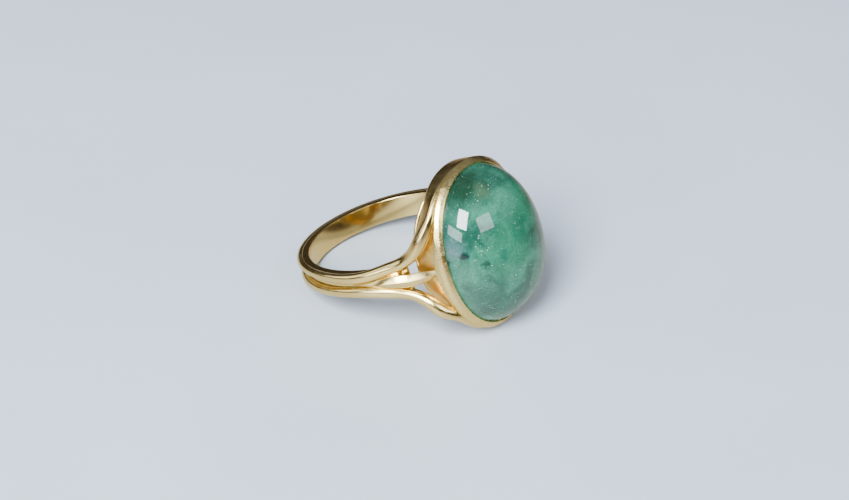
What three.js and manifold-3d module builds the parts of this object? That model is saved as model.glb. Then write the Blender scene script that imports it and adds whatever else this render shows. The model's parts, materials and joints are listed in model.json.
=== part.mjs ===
// A cocktail ring: a high oval cabochon in a closed bezel, carried by a split shank.
//
// Millimetres. The ring is modelled upright, with X across the finger, Y along the finger and Z
// towards the stone, and its finger axis is the Y axis. It is then laid on its side, as it rests on a
// table: on the end of its bezel and the back edge of its shank, with the stone facing -Y.
// Around the finger, angles are counted from the stone (0) to the back of the shank (180 degrees).
// Around the oval head, angles are counted from its +Y end (0) to its +X side (90 degrees).

import * as THREE from "three";
import { mergeVertices } from "three/addons/utils/BufferGeometryUtils.js";
import Module from "manifold-3d";

// ---- Driving dimensions ----

const BORE_RADIUS = 8.6; // finger hole
const JOINT_GAP = 0.03; // a soldered or set joint, between neighbouring pieces

// The stone: its girdle is the widest line, held inside the bezel.
const STONE_HALF_LENGTH = 7.8;
const STONE_HALF_WIDTH = 6.4;
const STONE_HEIGHT = 6.0;
const GIRDLE_HEIGHT = 0.55; // girdle above the flat base
const OVAL_POWER = 2.15; // 2 is an ellipse, more is squarer
const DOME_POWER = 0.94; // 1 is an ellipse, less is fuller
const BASE_SHARE = 0.955; // the flat base against the girdle
const STONE_BASE_Z = BORE_RADIUS + 1.8; // flat base above the finger axis

// The bezel round the stone: offsets are measured outwards from the girdle.
const LIP_RISE = 0.82; // lip above the girdle
const LIP_WIDTH = 0.16;
const LIP_EDGE = 0.08; // the lip's height where it meets the stone
const RIDGE_OFFSET = 0.6; // the collar's widest line
const RIDGE_DROP = 0.7; // below the lip
const COLLAR_WALL = 0.28; // the plain wall that cups the stone
const SKIRT_TIP_DEPTH = 0.75; // below the ridge, where the skirt comes to a point at each leaf
const UPPER_ARCH = 0.6; // how far the skirt's edge rises from that point on the +Y side
const LOWER_ARCH = 0.2; // and on the -Y side
const ARCH_SPAN = 30; // in degrees round the head
const BACK_THICKNESS = 0.34; // of the plate that closes the bezel under the stone

// The gallery: a tapered wall under the bezel with a fine wire along its foot.
const GALLERY_WALL = 0.45;
const GALLERY_OFFSET = 0.02; // of its top
const GALLERY_TAPER = 0.2; // its foot stands this far inside its top
const GALLERY_SIDE_HEIGHT = 2.15;
const GALLERY_END_HEIGHT = 0.5;
const RAIL_RADIUS = 0.2;

// The shank: a band with a wire along each edge. The two wires leave the band as the shoulders' arms.
const BAND_THICKNESS = 0.7;
const BAND_HALF_WIDTH = 1.15;
const SHOULDER_THICKNESS = 1.35; // of the band where it ends
const SHOULDER_HALF_WIDTH = 1.4;
const NECK_HALF_WIDTH = 1.12; // at the narrowest place, beside the leaf
const SHANK_LEAN = 0.035; // of the shank's plane against the head's, in Y for each mm of Z
const BAND_END_ANGLE = 44;
const NECK_ANGLE = 56; // where the wires leave the band as arms
const WIRE_BACK_HEIGHT = 0.65; // above the band, at the back
const WIRE_HALF_WIDTH = 0.37;
const WIRE_HALF_DEPTH = 0.42;
const NECK_RISE = 1.75; // the wire's top above the finger hole, where the arm leaves the band
const NECK_HALF_DEPTH = 0.62;
const NECK_EDGE = 1.2; // the wire's outer edge from the middle of the band, beside the leaf
const ARM_EDGE = 1.9; // and where the arm leaves
const ARM_HALF_WIDTH = 0.58;
const ARM_HALF_DEPTH = 0.72;
const END_HALF_WIDTH = 0.2; // where it runs under the bezel's end, as the deep wall of the head
const END_HALF_DEPTH = 0.92;
const END_WIRE_RISE = 0.1; // its centre line above the top of the gallery

// The leaf that runs down the middle of each shoulder, from the bezel to a point on the band.
const LEAF_TIP_ANGLE = 79;
const LEAF_HALF_WIDTH = 0.66;
const LEAF_ROOT_HALF_WIDTH = 0.34;
const LEAF_TIP_HALF_WIDTH = 0.05;
const LEAF_TIP_RISE = 0.12; // above the floor of the channel
const LEAF_THICKNESS = 0.75;
const LEAF_EDGE = 0.3; // from its ridge down to its side edges
const LEAF_DROP = 0.1; // how far the leaf bows towards the lower wire

// The small pits drilled beside each leaf, where the band ends.
const PIT_RADIUS = 0.17;
const PIT_ANGLE = 49.5;
const PIT_OFFSET = 0.46;

// How finely the curves are cut.
const OVAL_STEPS = 48;
const WIRE_STEPS = 84;
const BAND_STEPS = 44;
const LEAF_STEPS = 12;

const GOLD = { color: 0xd9b36a, roughness: 0.16, metalness: 1 };
const STONE = { color: 0x2f8a68, roughness: 0.08, metalness: 0 };

const FULL_TURN = 2 * Math.PI;
const { degToRad, lerp, smoothstep } = THREE.MathUtils;

const wasm = await Module();
wasm.setup();

// ---- Helpers ----

/** A solid through loops of points. `ring` joins the last loop to the first; otherwise flat ends close it. */
function loft(loops, ring) {
  const size = loops[0].length;
  const index = [];
  const spans = ring ? loops.length : loops.length - 1;
  for (let i = 0; i < spans; i++) {
    const here = i * size;
    const next = ((i + 1) % loops.length) * size;
    for (let j = 0; j < size; j++) {
      const k = (j + 1) % size;
      index.push(here + j, here + k, next + k, here + j, next + k, next + j);
    }
  }
  if (!ring) {
    const last = spans * size;
    for (let j = 1; j < size - 1; j++) {
      index.push(0, j + 1, j, last, last + j, last + j + 1);
    }
  }
  const geometry = new THREE.BufferGeometry().setFromPoints(loops.flat());
  geometry.setIndex(index);
  if (signedVolume(geometry) < 0) {
    geometry.setIndex(index.reverse());
  }
  return geometry;
}

function signedVolume(geometry) {
  const at = (i) => new THREE.Vector3().fromBufferAttribute(geometry.attributes.position, i);
  const faces = geometry.index.array;
  let volume = 0;
  for (let i = 0; i < faces.length; i += 3) {
    volume += at(faces[i]).dot(at(faces[i + 1]).cross(at(faces[i + 2]))) / 6;
  }
  return volume;
}

function solidOf(geometry) {
  const bare = new THREE.BufferGeometry();
  bare.setAttribute("position", geometry.attributes.position);
  bare.setIndex(geometry.index);
  const merged = mergeVertices(bare, 1e-4);
  return new wasm.Manifold(
    new wasm.Mesh({
      numProp: 3,
      vertProperties: new Float32Array(merged.attributes.position.array),
      triVerts: new Uint32Array(merged.index.array),
    }),
  );
}

/** A geometry with others cut away from it. */
function cut(geometry, ...tools) {
  let solid = solidOf(geometry);
  for (const tool of tools) {
    solid = solid.subtract(solidOf(tool));
  }
  const mesh = solid.getMesh();
  const made = new THREE.BufferGeometry();
  made.setAttribute("position", new THREE.BufferAttribute(mesh.vertProperties, 3));
  made.setIndex(new THREE.BufferAttribute(mesh.triVerts, 1));
  return made;
}

/** A point of the oval `offset` outside the girdle, at an angle round the head. */
function ovalPoint(angle, offset, z) {
  const soften = (value) => Math.sign(value) * Math.abs(value) ** (2 / OVAL_POWER);
  return new THREE.Vector3(
    (STONE_HALF_WIDTH + offset) * soften(Math.sin(angle)),
    (STONE_HALF_LENGTH + offset) * soften(Math.cos(angle)),
    z,
  );
}

/** A ring round the head. `profile` gives the [offset, z] corners of its section at an angle. */
function ovalRing(profile) {
  const loops = [];
  for (let i = 0; i < OVAL_STEPS; i++) {
    const angle = (i / OVAL_STEPS) * FULL_TURN;
    loops.push(profile(angle).map(([offset, z]) => ovalPoint(angle, offset, z)));
  }
  return loft(loops, true);
}

/** A value that runs smoothly through [angle in degrees, value] pairs, for an angle round the finger. */
function throughAngles(pairs, angle) {
  const last = pairs.length - 1;
  if (angle <= pairs[0][0]) {
    return pairs[0][1];
  }
  for (let i = 0; i < last; i++) {
    const [from, low] = pairs[i];
    const [to, high] = pairs[i + 1];
    if (angle <= to) {
      return lerp(low, high, smoothstep(angle, from, to));
    }
  }
  return pairs[last][1];
}

function onFinger(angle, radius, y) {
  const turn = degToRad(angle);
  return new THREE.Vector3(radius * Math.sin(turn), y, radius * Math.cos(turn));
}

/** The same point in the shank's own plane, which leans against the head's. */
function onShank(angle, radius, y) {
  const point = onFinger(angle, radius, y);
  return point.setY(y - SHANK_LEAN * point.z);
}

// ---- Heights that the head's pieces share ----

const girdleZ = STONE_BASE_Z + GIRDLE_HEIGHT;
const domeHeight = STONE_HEIGHT - GIRDLE_HEIGHT;
const lipZ = girdleZ + LIP_RISE;
const ridgeZ = lipZ - RIDGE_DROP;
const backTopZ = STONE_BASE_Z - JOINT_GAP;
const backFootZ = backTopZ - BACK_THICKNESS;
const galleryTopZ = backFootZ - JOINT_GAP;
const skirtTipZ = ridgeZ - SKIRT_TIP_DEPTH;
const endWireZ = galleryTopZ + END_WIRE_RISE;

/** The lower edge of the collar's skirt: a point at each leaf, an arch beside it, and level over the ends. */
function skirtZ(angle) {
  const side = Math.abs(Math.sin(angle));
  const overEnds = endWireZ + END_HALF_DEPTH + JOINT_GAP;
  const fromLeaf = Math.min(1, Math.acos(side) / degToRad(ARCH_SPAN));
  const rise = Math.cos(angle) > 0 ? UPPER_ARCH : LOWER_ARCH;
  const arch = skirtTipZ + rise * fromLeaf;
  return lerp(overEnds, arch, smoothstep(side, 0.6, 0.8));
}

function galleryFootZ(angle) {
  return galleryTopZ - lerp(GALLERY_END_HEIGHT, GALLERY_SIDE_HEIGHT, Math.sin(angle) ** 2);
}

/** How far outside the girdle the gallery wall's outer face is, at a height. */
function galleryOffset(z) {
  const down = (galleryTopZ - z) / GALLERY_SIDE_HEIGHT;
  return GALLERY_OFFSET - GALLERY_TAPER * down;
}

/** The share of the girdle's size that the dome has at a height. */
function domeShare(z) {
  const climb = Math.asin(Math.min(1, (z - girdleZ) / domeHeight));
  return Math.cos(climb) ** DOME_POWER;
}

/** How thick the band is, and so where the floor of its channel lies. */
function bandTop(angle) {
  const rise = smoothstep(110 - angle, 0, 110 - BAND_END_ANGLE);
  return BORE_RADIUS + lerp(BAND_THICKNESS, SHOULDER_THICKNESS, rise);
}

// ---- The head ----

function cabochon() {
  const levels = [
    [BASE_SHARE, STONE_BASE_Z],
    [lerp(BASE_SHARE, 1, 0.7), lerp(STONE_BASE_Z, girdleZ, 0.33)],
    [1, girdleZ],
  ];
  const domeSteps = 9;
  for (let i = 1; i < domeSteps; i++) {
    const z = girdleZ + domeHeight * Math.sin(((i / domeSteps) * Math.PI) / 2);
    levels.push([domeShare(z), z]);
  }
  levels.push([0.03, girdleZ + domeHeight]);
  const loops = levels.map(([share, z]) => {
    const loop = [];
    for (let i = 0; i < OVAL_STEPS; i++) {
      const point = ovalPoint((i / OVAL_STEPS) * FULL_TURN, 0, z);
      loop.push(new THREE.Vector3(point.x * share, point.y * share, z));
    }
    return loop;
  });
  return loft(loops, false);
}

/** The collar. `grow` swells its outside and fills its inside, to make the tool that fits a piece to it. */
function bezelCollar(grow) {
  // The lip closes over the stone, a joint's gap outside the dome.
  const gripZ = lipZ - LIP_EDGE;
  const grip = JOINT_GAP - STONE_HALF_WIDTH * (1 - domeShare(gripZ));
  return ovalRing((angle) => {
    const foot = skirtZ(angle) - grow;
    const wall = COLLAR_WALL + grow;
    return [
      [grow > 0 ? -1 : JOINT_GAP, backFootZ - grow],
      [wall, backFootZ - grow],
      [wall + 0.02, foot + 0.1],
      [RIDGE_OFFSET - 0.05 + grow, foot],
      [RIDGE_OFFSET + grow, Math.max(ridgeZ, foot + 0.12)],
      [RIDGE_OFFSET - 0.2, lipZ - 0.27],
      [grip + LIP_WIDTH, lipZ],
      [grip, gripZ],
      [JOINT_GAP, girdleZ],
    ];
  });
}

/** The plate that the stone's flat base lies on. */
function bezelBack() {
  const loops = [backFootZ, backTopZ].map((z) => {
    const loop = [];
    for (let i = 0; i < OVAL_STEPS; i++) {
      loop.push(ovalPoint((i / OVAL_STEPS) * FULL_TURN, -JOINT_GAP, z));
    }
    return loop;
  });
  return loft(loops, false);
}

function galleryWall(grow) {
  return ovalRing((angle) => {
    const foot = galleryFootZ(angle);
    return [
      [galleryOffset(galleryTopZ) - GALLERY_WALL, galleryTopZ],
      [galleryOffset(foot) - GALLERY_WALL, foot - grow],
      [galleryOffset(foot) + grow, foot - grow],
      [galleryOffset(galleryTopZ) + grow, galleryTopZ],
    ];
  });
}

function galleryRail(grow) {
  const corners = 6;
  const radius = RAIL_RADIUS + grow;
  return ovalRing((angle) => {
    const z = galleryFootZ(angle) - JOINT_GAP - RAIL_RADIUS;
    const middle = galleryOffset(z) - GALLERY_WALL / 2;
    const section = [];
    for (let i = 0; i < corners; i++) {
      const turn = ((i + 0.5) / corners) * FULL_TURN;
      section.push([middle + radius * Math.cos(turn), z + radius * Math.sin(turn)]);
    }
    return section;
  });
}

// ---- The shank and shoulders ----

/**
 * Half of a wire's centre line with its half width and half depth, from the bezel's end to the back of
 * the shank. `end` is 1 for the wire on the +Y side and -1 for the other.
 */
function wireStations(end) {
  const station = (point, width, depth, square) => {
    point.y *= end;
    return { point, width, depth, square };
  };
  // Under the bezel: [angle round the head, flare beyond the collar, extra width].
  const head = [
    [0, 0, 0],
    [20, 0, 0],
    [34, 0.04, 0.08],
    [45, 0.12, 0.2],
    [54, 0.26, 0.32],
  ].map(([angle, flare, extra]) => {
    const width = END_HALF_WIDTH + extra;
    const offset = RIDGE_OFFSET - JOINT_GAP - width + flare;
    return station(ovalPoint(degToRad(angle), offset, endWireZ), width, END_HALF_DEPTH, 1);
  });
  // Down the shoulder: [beyond the girdle in X, share of the stone's half length in Y, below the wire
  // under the bezel, extra width].
  const arm = [
    [0.08, 0.515, 0.48, 0.14],
    [0.46, 0.415, 0.96, 0.16],
    [0.68, 0.305, 1.78, 0.06],
    [0.9, 0.228, 2.8, 0],
    [1.23, 0.18, 3.7, 0],
  ].map(([beyond, share, below, extra]) => {
    const point = new THREE.Vector3(STONE_HALF_WIDTH + beyond, share * STONE_HALF_LENGTH, endWireZ - below);
    return station(point, ARM_HALF_WIDTH + extra, ARM_HALF_DEPTH, 0);
  });
  // Round the finger, along the band's edge.
  const shank = [];
  const steps = 10;
  for (let i = 0; i <= steps; i++) {
    const angle = lerp(NECK_ANGLE, 180, (i / steps) ** 1.1);
    const width = throughAngles([[NECK_ANGLE, ARM_HALF_WIDTH], [110, WIRE_HALF_WIDTH]], angle);
    const depth = throughAngles([[NECK_ANGLE, NECK_HALF_DEPTH], [95, WIRE_HALF_DEPTH]], angle);
    const edge = throughAngles([[50, ARM_EDGE], [76, NECK_EDGE], [150, BAND_HALF_WIDTH]], angle);
    const rise = throughAngles([[NECK_ANGLE, NECK_RISE], [120, BAND_THICKNESS + WIRE_BACK_HEIGHT]], angle);
    const point = onFinger(angle, BORE_RADIUS + rise - depth, edge - width);
    shank.push(station(point, width, depth, 0.4));
  }
  const stations = [...head, ...arm, ...shank];
  for (const { point } of [...arm, ...shank]) {
    point.y -= SHANK_LEAN * point.z;
  }
  return stations;
}

/** A wire: a closed loop round the finger and under the bezel's end. `grow` makes the tool for its seat. */
function shankWire(end, grow) {
  const half = wireStations(end);
  const mirrored = half.slice(1, -1).reverse().map((station) => ({
    ...station,
    point: station.point.clone().multiply(new THREE.Vector3(-1, 1, 1)),
  }));
  const stations = [...half, ...mirrored];
  const points = stations.map((station) => station.point);
  const line = new THREE.CatmullRomCurve3(points, true, "centripetal");
  const sizeAt = (key, t) => {
    const place = t * stations.length;
    const low = Math.floor(place) % stations.length;
    const high = (low + 1) % stations.length;
    return lerp(stations[low][key], stations[high][key], smoothstep(place - Math.floor(place), 0, 1));
  };
  const corners = 12;
  const loops = [];
  for (let i = 0; i < WIRE_STEPS; i++) {
    const t = i / WIRE_STEPS;
    const centre = line.getPoint(t);
    const outward = new THREE.Vector3(centre.x, 0, centre.z).normalize();
    const across = new THREE.Vector3().crossVectors(line.getTangent(t), outward).normalize();
    outward.crossVectors(across, line.getTangent(t)).normalize();
    const width = sizeAt("width", t) + grow;
    const depth = sizeAt("depth", t) + grow;
    const power = lerp(1, 0.5, sizeAt("square", t));
    const loop = [];
    for (let j = 0; j < corners; j++) {
      const turn = ((j + 0.5) / corners) * FULL_TURN;
      const [sideways, upwards] = [Math.cos(turn), Math.sin(turn)].map(
        (value) => Math.sign(value) * Math.abs(value) ** power,
      );
      loop.push(
        centre
          .clone()
          .addScaledVector(across, width * sideways)
          .addScaledVector(outward, depth * upwards),
      );
    }
    loops.push(loop);
  }
  return loft(loops, true);
}

function pit(side, end) {
  const drill = new THREE.CylinderGeometry(PIT_RADIUS, PIT_RADIUS, 3, 8);
  drill.rotateX(Math.PI / 2);
  drill.rotateY(degToRad(side * PIT_ANGLE));
  const middle = onShank(side * PIT_ANGLE, BORE_RADIUS + 1, end * PIT_OFFSET);
  return drill.translate(middle.x, middle.y, middle.z);
}

function shankBand(wires) {
  const loops = [];
  for (let i = 0; i <= BAND_STEPS; i++) {
    const angle = lerp(BAND_END_ANGLE, 360 - BAND_END_ANGLE, i / BAND_STEPS);
    const fromHead = Math.min(angle, 360 - angle);
    const half = throughAngles(
      [[46, SHOULDER_HALF_WIDTH], [62, NECK_HALF_WIDTH], [120, BAND_HALF_WIDTH]],
      fromHead,
    );
    const top = bandTop(fromHead);
    loops.push([
      onShank(angle, BORE_RADIUS, -half),
      onShank(angle, BORE_RADIUS, half),
      onShank(angle, top, half),
      onShank(angle, top, -half),
    ]);
  }
  const pits = [-1, 1].flatMap((side) => [-1, 1].map((end) => pit(side, end)));
  return cut(loft(loops, false), ...wires, ...pits);
}

/** The leaf on the +X side: a spine with two sloping faces, flat underneath. */
function shoulderLeaf(neighbours) {
  const tip = onShank(LEAF_TIP_ANGLE, bandTop(LEAF_TIP_ANGLE) + LEAF_TIP_RISE, 0);
  const root = ovalPoint(Math.PI / 2, RIDGE_OFFSET - 0.12, skirtTipZ - JOINT_GAP);
  const spine = new THREE.CatmullRomCurve3([
    tip,
    onShank(66, BORE_RADIUS + 1.65, 0),
    onShank(NECK_ANGLE - 1, BORE_RADIUS + 2.1, 0),
    onShank(BAND_END_ANGLE + 1, BORE_RADIUS + 2.5, -LEAF_DROP),
    root,
  ]);
  const loops = [];
  for (let i = 0; i <= LEAF_STEPS; i++) {
    const t = i / LEAF_STEPS;
    const ridge = spine.getPoint(t);
    const angle = THREE.MathUtils.radToDeg(Math.atan2(ridge.x, ridge.z));
    const tangent = spine.getTangent(t);
    const inward = new THREE.Vector3(-tangent.z, 0, tangent.x).normalize();
    const swell = Math.sin((Math.PI / 2) * Math.min(1, t / 0.7)) ** 0.9;
    const width = lerp(LEAF_HALF_WIDTH * swell, LEAF_ROOT_HALF_WIDTH, smoothstep(t, 0.78, 1));
    const half = Math.max(LEAF_TIP_HALF_WIDTH, width);
    const overBand = Math.hypot(ridge.x, ridge.z) - bandTop(angle) - JOINT_GAP;
    const depth = angle > BAND_END_ANGLE + 4 ? overBand : Math.min(overBand, LEAF_THICKNESS);
    const corner = (y, down) => {
      const point = ridge.clone().addScaledVector(inward, down);
      return point.setY(ridge.y + y);
    };
    loops.push([
      corner(0, 0),
      corner(half, Math.min(LEAF_EDGE, depth * 0.6)),
      corner(half * 0.8, depth),
      corner(-half * 0.8, depth),
      corner(-half, Math.min(LEAF_EDGE, depth * 0.6)),
    ]);
  }
  return cut(loft(loops, false), ...neighbours);
}

function otherSide(geometry) {
  const flipped = geometry.clone().scale(-1, 1, 1);
  flipped.setIndex([...geometry.index.array].reverse());
  return flipped;
}

// ---- Assembly ----

const ring = new THREE.Group();

function add(name, geometry, finish) {
  const mesh = new THREE.Mesh(geometry, new THREE.MeshStandardMaterial(finish));
  mesh.name = name;
  ring.add(mesh);
}

const tools = [shankWire(1, JOINT_GAP), shankWire(-1, JOINT_GAP)];
const leaf = shoulderLeaf([
  ...tools,
  bezelCollar(JOINT_GAP),
  galleryWall(JOINT_GAP),
  galleryRail(JOINT_GAP),
]);

add("cabochon", cabochon(), STONE);
add("bezel_collar", cut(bezelCollar(0), ...tools), GOLD);
add("bezel_back", cut(bezelBack(), ...tools), GOLD);
add("gallery_wall", cut(galleryWall(0), ...tools), GOLD);
add("gallery_rail", cut(galleryRail(0), ...tools), GOLD);
add("shank_band", shankBand(tools), GOLD);
add("upper_shank_wire", shankWire(1, 0), GOLD);
add("lower_shank_wire", shankWire(-1, 0), GOLD);
add("right_shoulder_leaf", leaf, GOLD);
add("left_shoulder_leaf", otherSide(leaf), GOLD);

/** The lowest point of the meshes with the ring tilted by `tilt`, on its head's side or its shank's. */
function lowest(tilt, onHead) {
  const point = new THREE.Vector3();
  let low = Infinity;
  for (const mesh of ring.children) {
    const places = mesh.geometry.attributes.position;
    for (let i = 0; i < places.count; i++) {
      point.fromBufferAttribute(places, i);
      if (point.z > 0 === onHead) {
        low = Math.min(low, point.y * Math.cos(tilt) + point.z * Math.sin(tilt));
      }
    }
  }
  return low;
}

/** The tilt at which the bezel's end and the shank's back edge both touch the table. */
function restTilt() {
  let [low, high] = [0, Math.PI / 4];
  for (let i = 0; i < 40; i++) {
    const middle = (low + high) / 2;
    if (lowest(middle, true) < lowest(middle, false)) {
      low = middle;
    } else {
      high = middle;
    }
  }
  return (low + high) / 2;
}

ring.rotation.x = Math.PI / 2 - restTilt();
ring.updateMatrixWorld(true);
const bounds = new THREE.Box3().setFromObject(ring, true);
const middle = bounds.getCenter(new THREE.Vector3());

const part = new THREE.Group();
ring.position.set(-middle.x, -middle.y, -bounds.min.z);
part.add(ring);

export default part;
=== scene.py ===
"""A yellow gold cocktail ring with a high oval cabochon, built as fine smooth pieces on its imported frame.

The ring is modelled in its own axes, in millimetres: X across the finger, Y along the finger and Z
towards the stone, from the centre of the finger hole. The frame says where those axes lie in the row.
Around the finger, angles are counted from the stone (0) to the back of the shank (180 degrees).
Around the oval head, angles are counted from its +Y end (0) to its +X side (90 degrees).
"""

import json
import logging
import math
from dataclasses import dataclass, replace
from enum import Enum
from typing import Callable, Iterable, Sequence

import bpy
import numpy as np
from mathutils import Matrix, Vector


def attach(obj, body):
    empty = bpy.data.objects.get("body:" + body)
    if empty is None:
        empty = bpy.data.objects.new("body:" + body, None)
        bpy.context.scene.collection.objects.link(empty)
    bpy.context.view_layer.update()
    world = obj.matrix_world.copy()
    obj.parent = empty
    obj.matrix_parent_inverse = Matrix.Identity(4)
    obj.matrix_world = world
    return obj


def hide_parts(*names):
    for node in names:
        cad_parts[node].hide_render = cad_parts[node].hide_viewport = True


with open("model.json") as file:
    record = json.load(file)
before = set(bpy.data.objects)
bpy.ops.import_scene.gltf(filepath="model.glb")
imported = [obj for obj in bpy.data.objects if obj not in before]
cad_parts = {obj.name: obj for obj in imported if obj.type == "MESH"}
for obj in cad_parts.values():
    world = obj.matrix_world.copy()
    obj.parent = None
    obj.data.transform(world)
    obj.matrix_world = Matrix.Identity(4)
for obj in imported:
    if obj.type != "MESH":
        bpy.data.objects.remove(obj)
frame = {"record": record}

log = logging.getLogger("cocktail_ring")
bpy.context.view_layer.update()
BODY = "root"
MM = 0.001
FULL_TURN = 2 * math.pi
WELD_DISTANCE = 1e-4

Triple = tuple[float, float, float]


# ---- Small mathematics ----


def lerp(low: float, high: float, share: float) -> float:
    """The value a share of the way from low to high."""
    return low + (high - low) * share


def smoothstep(value: float, low: float, high: float) -> float:
    """0 below low, 1 above high, and a smooth climb between."""
    share = min(1.0, max(0.0, (value - low) / (high - low)))
    return share * share * (3 - 2 * share)


def through(pairs: Sequence[tuple[float, float]], value: float) -> float:
    """A value that runs smoothly through pairs.

    Args:
        pairs: (place, value) pairs in rising order of place.
        value: the place asked for.

    Returns:
        The value there, held level beyond the first and the last pair.
    """
    if value <= pairs[0][0]:
        return pairs[0][1]
    for (low, start), (high, end) in zip(pairs, pairs[1:]):
        if value <= high:
            return lerp(start, end, smoothstep(value, low, high))
    return pairs[-1][1]


def soften(value: float, power: float) -> float:
    """A sine or cosine raised to a power with its sign kept, which makes a circle squarer or fuller."""
    return math.copysign(abs(value) ** power, value)


def closed_spline(points: np.ndarray, share: float) -> tuple[np.ndarray, np.ndarray]:
    """A closed centripetal Catmull-Rom curve.

    Args:
        points: the points that it runs through, one a row.
        share: how far along it, from 0 to 1, with each span an equal part.

    Returns:
        The point there, and the direction of travel.
    """
    count = len(points)
    place = share * count
    span = int(math.floor(place)) % count
    local = place - math.floor(place)
    a, b, c, d = (points[(span + k) % count] for k in (-1, 0, 1, 2))
    ab, bc, cd = (math.sqrt(max(np.linalg.norm(q - p), 1e-6)) for p, q in ((a, b), (b, c), (c, d)))
    start = ((b - a) / ab - (c - a) / (ab + bc) + (c - b) / bc) * bc
    end = ((c - b) / bc - (d - b) / (bc + cd) + (d - c) / cd) * bc
    square = -3 * b + 3 * c - 2 * start - end
    cube = 2 * b - 2 * c + start + end
    point = b + start * local + square * local**2 + cube * local**3
    heading = start + 2 * square * local + 3 * cube * local**2
    return point, heading / np.linalg.norm(heading)


def open_spline(points: np.ndarray, share: float) -> tuple[np.ndarray, np.ndarray]:
    """An open Catmull-Rom curve from its first point to its last.

    Args:
        points: the points that it runs through, one a row.
        share: how far along it, from 0 to 1.

    Returns:
        The point there, and the direction of travel.
    """
    spans = len(points) - 1
    place = min(share * spans, spans - 1e-9)
    span = int(place)
    local = place - span
    b, c = points[span], points[span + 1]
    a = points[span - 1] if span else 2 * b - c
    d = points[span + 2] if span + 2 <= spans else 2 * c - b
    ab, bc, cd = (math.sqrt(np.linalg.norm(q - p)) for p, q in ((a, b), (b, c), (c, d)))
    start = ((b - a) / ab - (c - a) / (ab + bc) + (c - b) / bc) * bc
    end = ((c - b) / bc - (d - b) / (bc + cd) + (d - c) / cd) * bc
    square = -3 * b + 3 * c - 2 * start - end
    cube = 2 * b - 2 * c + start + end
    point = b + start * local + square * local**2 + cube * local**3
    heading = start + 2 * square * local + 3 * cube * local**2
    return point, heading / np.linalg.norm(heading)


def rounded(corners: Sequence[Triple], steps: int = 5) -> list[tuple[float, float]]:
    """A closed outline with each corner turned into a small curve.

    Args:
        corners: (across, up, radius) of each corner.
        steps: points on each curve.

    Returns:
        The points of the outline, always the same number for the same number of corners.
    """
    outline = []
    count = len(corners)
    for i, (x, y, radius) in enumerate(corners):
        here = np.array((x, y))
        before = np.array(corners[i - 1][:2]) - here
        after = np.array(corners[(i + 1) % count][:2]) - here
        back = here + before * min(0.45, radius / max(np.linalg.norm(before), 1e-6))
        ahead = here + after * min(0.45, radius / max(np.linalg.norm(after), 1e-6))
        for k in range(steps):
            t = k / (steps - 1)
            outline.append(tuple(back * (1 - t) ** 2 + here * 2 * t * (1 - t) + ahead * t**2))
    return outline


# ---- The ring's own axes, and how meshes get into the row ----


@dataclass(frozen=True)
class RingAxes:
    """The ring's own axes in the row frame, read from the finger hole's mount."""

    centre: Vector
    finger: Vector

    @classmethod
    def from_record(cls, record: dict) -> "RingAxes":
        """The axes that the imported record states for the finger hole."""
        hole = next(mount for mount in record["mounts"] if mount["name"] == "finger_hole")
        return cls(Vector(hole["pos_m"]), Vector(hole["axis"]).normalized())

    @property
    def across(self) -> Vector:
        """The direction across the finger."""
        return Vector((1, 0, 0))

    @property
    def head(self) -> Vector:
        """The direction towards the stone."""
        return self.across.cross(self.finger)

    def place(self, points: np.ndarray) -> np.ndarray:
        """Points in the ring's millimetres turned into the row frame's metres."""
        axes = np.array((self.across, self.finger, self.head))
        return np.array(self.centre) + points * MM @ axes


RING = RingAxes.from_record(frame["record"])


def mesh_volume(mesh: bpy.types.Mesh) -> float:
    """The volume inside a closed mesh, below zero where its faces point inwards."""
    mesh.calc_loop_triangles()
    places = np.array([vertex.co for vertex in mesh.vertices])
    corners = np.array([triangle.vertices for triangle in mesh.loop_triangles])
    a, b, c = places[corners[:, 0]], places[corners[:, 1]], places[corners[:, 2]]
    return float(np.einsum("ij,ij->i", a, np.cross(b, c)).sum() / 6)


def new_piece(name: str, mesh: bpy.types.Mesh) -> bpy.types.Object:
    """An object for a finished mesh, with its faces turned outwards and shaded smooth."""
    if mesh_volume(mesh) < 0:
        mesh.flip_normals()
    mesh.shade_smooth()
    piece = bpy.data.objects.new(name, mesh)
    bpy.context.scene.collection.objects.link(piece)
    return piece


def mesh_of(name: str, points: np.ndarray, faces: Iterable[Sequence[int]]) -> bpy.types.Mesh:
    """A mesh in the row frame that remembers each vertex's place on the ring.

    Args:
        name: the mesh's name.
        points: vertices in the ring's millimetres.
        faces: vertex numbers of each face.

    Returns:
        The mesh, with the ring's millimetres kept in its "ring_place" attribute for the finishes.
    """
    mesh = bpy.data.meshes.new(name)
    mesh.from_pydata(RING.place(points).tolist(), [], list(faces))
    keep_place(mesh, points)
    return mesh


def keep_place(mesh: bpy.types.Mesh, points: np.ndarray) -> None:
    """Writes the vertices' own places on the ring to the mesh."""
    attribute = mesh.attributes.new("ring_place", "FLOAT_VECTOR", "POINT")
    attribute.data.foreach_set("vector", np.asarray(points, np.float32).ravel())


def loft(loops: np.ndarray, ring: bool) -> list[tuple[int, ...]]:
    """The faces of a skin over loops of points.

    Args:
        loops: array of loops by points by 3.
        ring: whether the last loop joins the first. Otherwise flat ends close the skin.

    Returns:
        The faces, four corners each apart from the ends.
    """
    count, size = loops.shape[:2]
    faces: list[tuple[int, ...]] = []
    for i in range(count if ring else count - 1):
        here = i * size
        ahead = ((i + 1) % count) * size
        for j in range(size):
            k = (j + 1) % size
            faces.append((here + j, here + k, ahead + k, ahead + j))
    if not ring:
        last = (count - 1) * size
        faces.append(tuple(range(size - 1, -1, -1)))
        faces.append(tuple(range(last, last + size)))
    return faces


def lofted(name: str, loops: np.ndarray, ring: bool) -> bpy.types.Mesh:
    """A mesh lofted through loops of points in the ring's millimetres."""
    return mesh_of(name, loops.reshape(-1, 3), loft(loops, ring))


# ---- Nodes ----


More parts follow.
